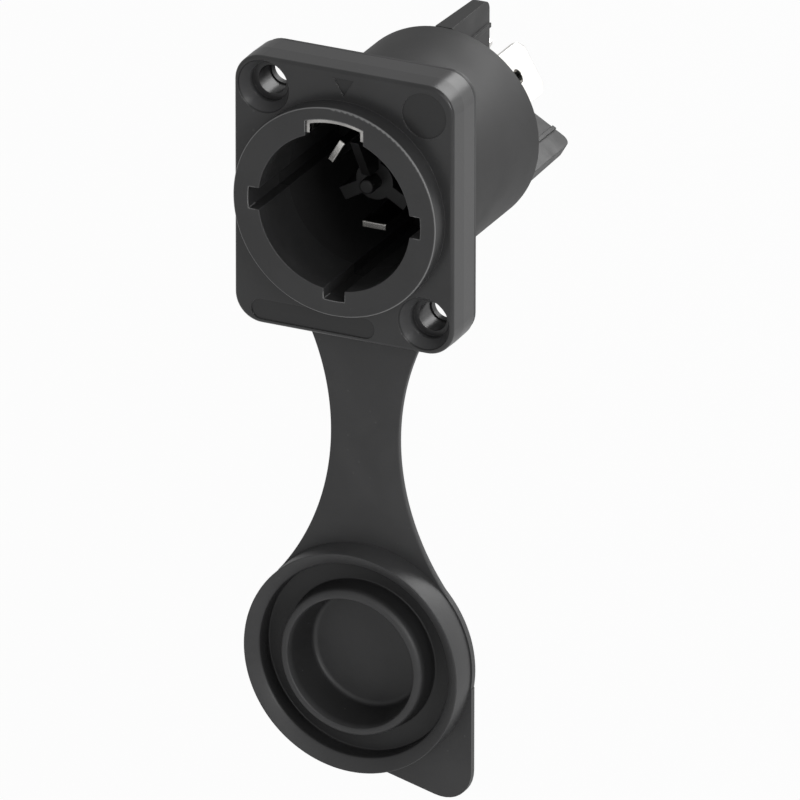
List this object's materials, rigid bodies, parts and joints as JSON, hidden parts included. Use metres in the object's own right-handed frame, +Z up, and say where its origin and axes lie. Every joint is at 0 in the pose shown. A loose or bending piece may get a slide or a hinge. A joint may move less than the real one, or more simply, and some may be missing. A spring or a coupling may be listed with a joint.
{
  "type": "locking panel power inlet",
  "caption": "Panel-mounted locking mains inlet: square flange with a keyed round socket, rear tab terminals and a rubber sealing cap on a strap.",
  "frame": {"origin": "centre of the fixing-hole pattern, in the plane where the gasket meets the panel", "axes": "+Y from the panel towards the terminals, so the socket faces -Y; +Z up, the strap and cap hang along -Z; +X to the right seen from the front"},
  "size_m": [0.026, 0.0428, 0.085],
  "materials": {
    "housing_plastic": "black glass-filled nylon, fine spark-eroded texture",
    "carrier_plastic": "black glass-filled nylon, satin",
    "spring_steel": "bright stainless strip",
    "contact_plating": "silver-plated brass",
    "seal_rubber": "plain black rubber",
    "cover_rubber": "soft black moulded rubber, satin"
  },
  "bodies": {
    "housing": {"inlet_housing": "housing_plastic", "latch_plate": "spring_steel", "contact_carrier": "carrier_plastic", "carrier_seal": "seal_rubber", "contact_right": "contact_plating", "contact_left": "contact_plating", "contact_lower": "contact_plating", "panel_gasket": "cover_rubber"},
    "strap_upper": {"strap_upper": "cover_rubber"},
    "strap_lower": {"strap_lower": "cover_rubber"},
    "sealing_cap": {"sealing_cap": "cover_rubber"}
  },
  "joints": [
    {"name": "cover_fold_flange", "type": "hinge", "parent": "housing", "child": "strap_upper", "pos_m": [0, -0.0008, -0.0155], "axis": [-1, 0, 0], "range_deg": [0, 30]},
    {"name": "cover_fold_strap", "type": "hinge", "parent": "strap_upper", "child": "strap_lower", "pos_m": [0, -0.0008, -0.0271], "axis": [-1, 0, 0], "range_deg": [0, 120]},
    {"name": "cover_fold_cap", "type": "hinge", "parent": "strap_lower", "child": "sealing_cap", "pos_m": [0, -0.0008, -0.0387], "axis": [-1, 0, 0], "range_deg": [0, 30]}
  ],
  "couplings": [
    {"joint": "cover_fold_strap", "follows": "cover_fold_flange", "ratio": 4},
    {"joint": "cover_fold_cap", "follows": "cover_fold_flange", "ratio": 1}
  ]
}
